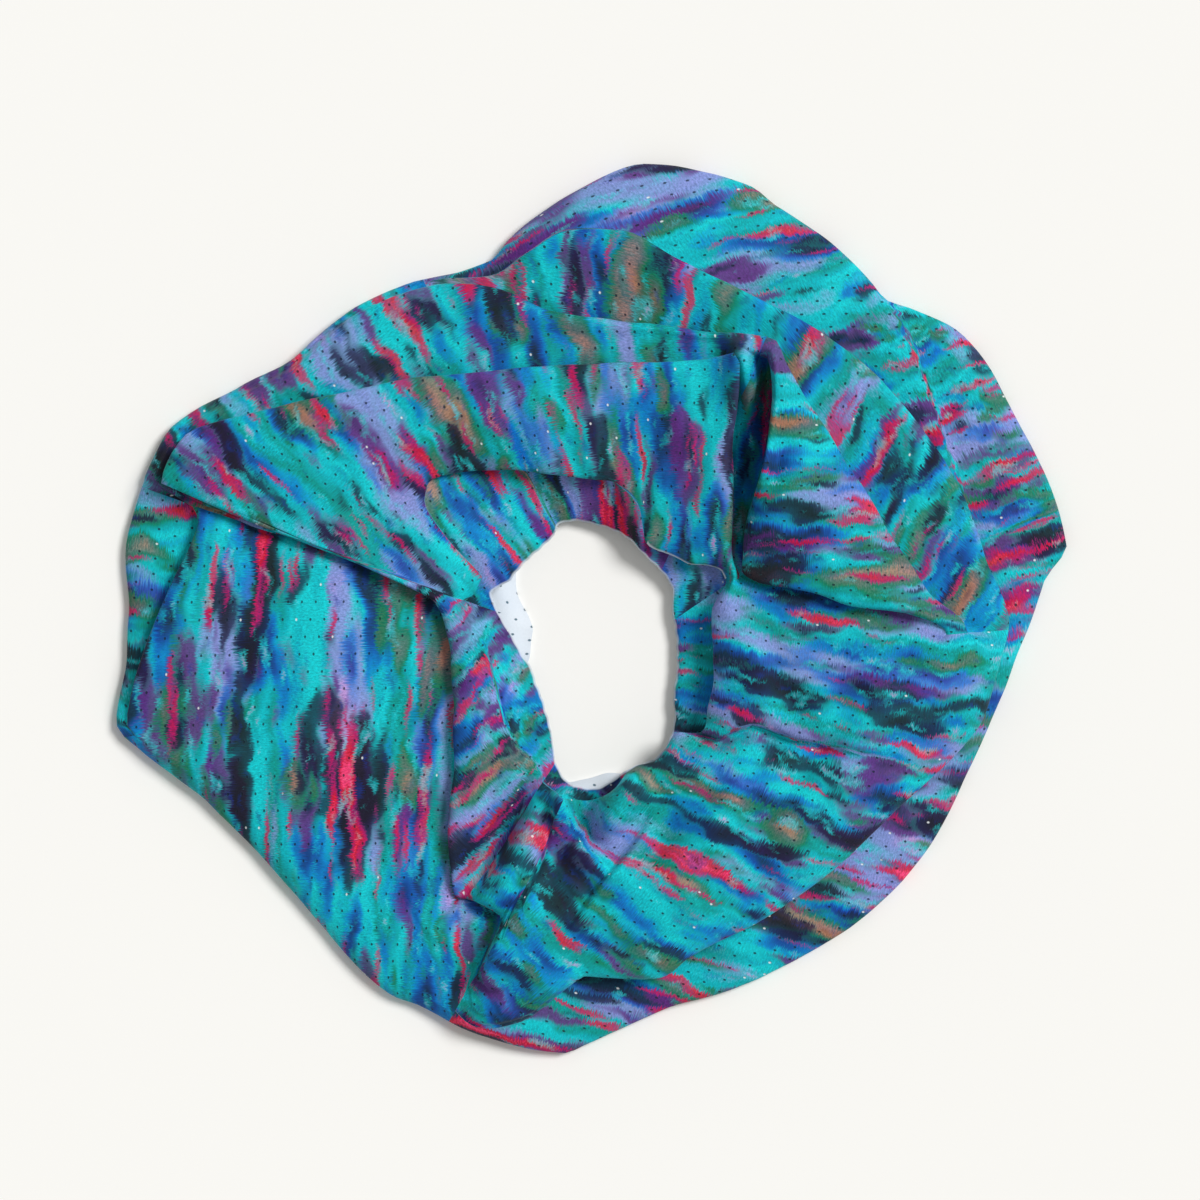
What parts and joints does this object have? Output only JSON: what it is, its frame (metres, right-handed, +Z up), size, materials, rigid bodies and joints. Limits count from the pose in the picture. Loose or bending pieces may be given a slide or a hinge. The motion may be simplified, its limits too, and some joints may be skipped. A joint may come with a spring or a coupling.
{
  "type": "cooling neck ring",
  "caption": "Thin perforated knit tube, open at both hems, twisted and laid flat as a soft folded ring with an open neck hole.",
  "frame": {"origin": "centre of the bounding box on the surface the ring lies on", "axes": "+Z up from the surface, +X along the ring's longest way, to the right as it is looked down on"},
  "size_m": [0.2854, 0.267, 0.0254],
  "materials": {
    "turquoise_knit": "matt brushed knit, streaked print outside, white inside"
  },
  "bodies": {
    "root": {"neck_tube": "turquoise_knit"}
  },
  "joints": []
}
